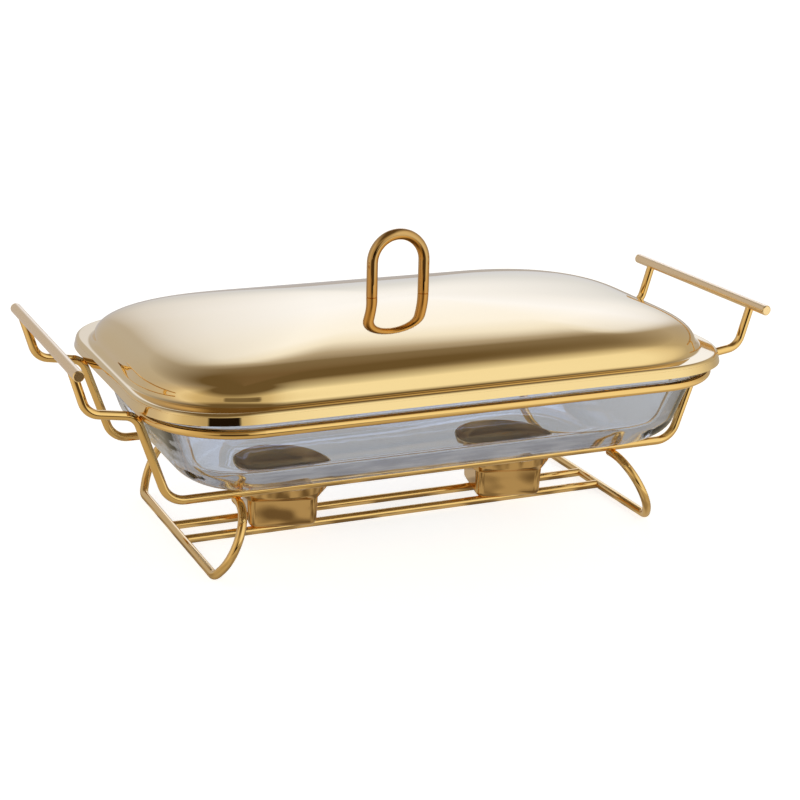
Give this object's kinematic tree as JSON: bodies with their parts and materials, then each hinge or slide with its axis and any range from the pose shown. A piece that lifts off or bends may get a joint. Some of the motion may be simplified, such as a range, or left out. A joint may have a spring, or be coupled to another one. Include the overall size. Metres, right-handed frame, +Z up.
{
  "type": "candle-heated food warmer",
  "caption": "Oblong glass food pan with a loose domed lid and bow handle, carried by the rim in a gold bent-wire stand with bar handles, wire feet and open cups for tealight candles.",
  "frame": {"origin": "centre of the footprint, on the table plane that the two foot bars stand on", "axes": "+X along the pan's length from the left handle to the right one, -Y towards the front side seen in the picture, +Z up"},
  "size_m": [0.415, 0.215, 0.1695],
  "materials": {
    "plated_wire": "polished gold plating",
    "plated_handle": "satin gold plating",
    "plated_cup": "pressed sheet with polished gold plating",
    "plated_lid": "mirror-polished gold plating",
    "plated_bow": "polished antique gold plating",
    "pan_glass": "clear moulded glass",
    "screw_steel": "bright plated steel"
  },
  "bodies": {
    "stand": {"left_handle_bar": "plated_handle", "right_handle_bar": "plated_handle", "front_cradle_wire": "plated_wire", "rear_cradle_wire": "plated_wire", "rim_ring": "plated_wire", "left_foot_wire": "plated_wire", "right_foot_wire": "plated_wire", "front_base_rail": "plated_wire", "rear_base_rail": "plated_wire", "left_candle_cup": "plated_cup", "right_candle_cup": "plated_cup"},
    "pan": {"glass_pan": "pan_glass"},
    "lid": {"lid_shell": "plated_lid", "lid_handle": "plated_bow", "lid_handle_screws": "screw_steel", "lid_handle_washers": "screw_steel"}
  },
  "joints": [
    {"name": "pan_lift", "type": "slide", "parent": "stand", "child": "pan", "axis": [0, 0, 1], "range_m": [0, 0.12]},
    {"name": "lid_lift", "type": "slide", "parent": "pan", "child": "lid", "axis": [0, 0, 1], "range_m": [0, 0.12]}
  ]
}
